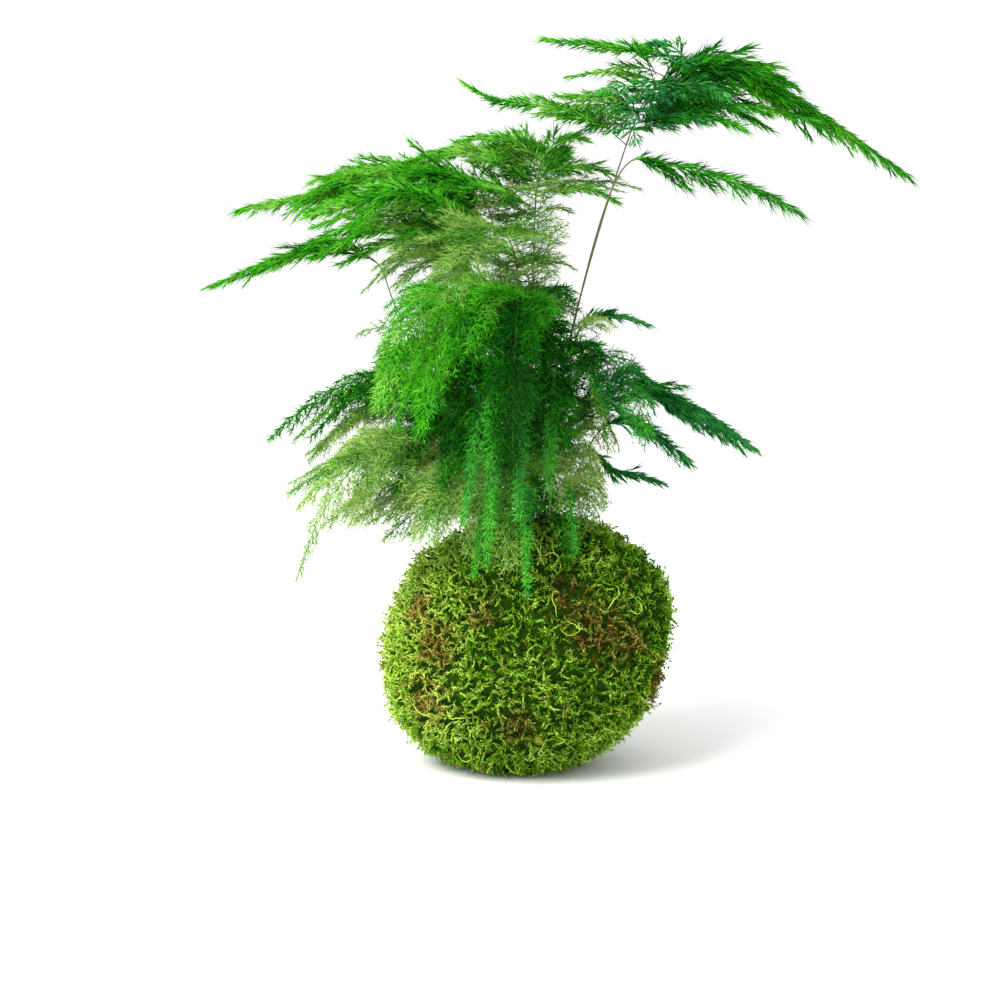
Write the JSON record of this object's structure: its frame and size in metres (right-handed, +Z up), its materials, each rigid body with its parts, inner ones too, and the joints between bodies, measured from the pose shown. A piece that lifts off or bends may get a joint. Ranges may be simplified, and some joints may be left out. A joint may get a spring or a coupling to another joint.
{
  "type": "kokedama moss ball plant",
  "caption": "Ball of soil wrapped in living moss, with a feathery asparagus fern growing from its top; rests on a small flat spot.",
  "frame": {"origin": "middle of the flat spot that the moss ball rests on", "axes": "+Z up out of the ball; -Y is the front, the side that the picture shows; +X is to the viewer's right"},
  "size_m": [0.3, 0.1872, 0.3045],
  "materials": {
    "moss": "matte",
    "soil": "matte",
    "root": "matte",
    "thread": "matte",
    "frond": "matte"
  },
  "bodies": {
    "root": {"moss_cover": "moss", "soil_core": "soil", "root_crown": "root", "binding_thread": "thread", "frond_top_right": "frond", "frond_mid_right": "frond", "frond_top_left": "frond", "frond_upper_left": "frond", "frond_upper_back": "frond", "frond_upper_front": "frond", "frond_upper_front_left": "frond", "frond_front_left": "frond", "frond_front": "frond", "frond_front_right": "frond", "frond_left": "frond", "frond_low_left": "frond", "frond_low_front_left": "frond", "frond_low_front": "frond", "frond_right": "frond", "frond_low_right": "frond", "frond_back_right": "frond", "frond_back": "frond", "frond_back_left": "frond", "frond_low_back": "frond"}
  },
  "joints": []
}
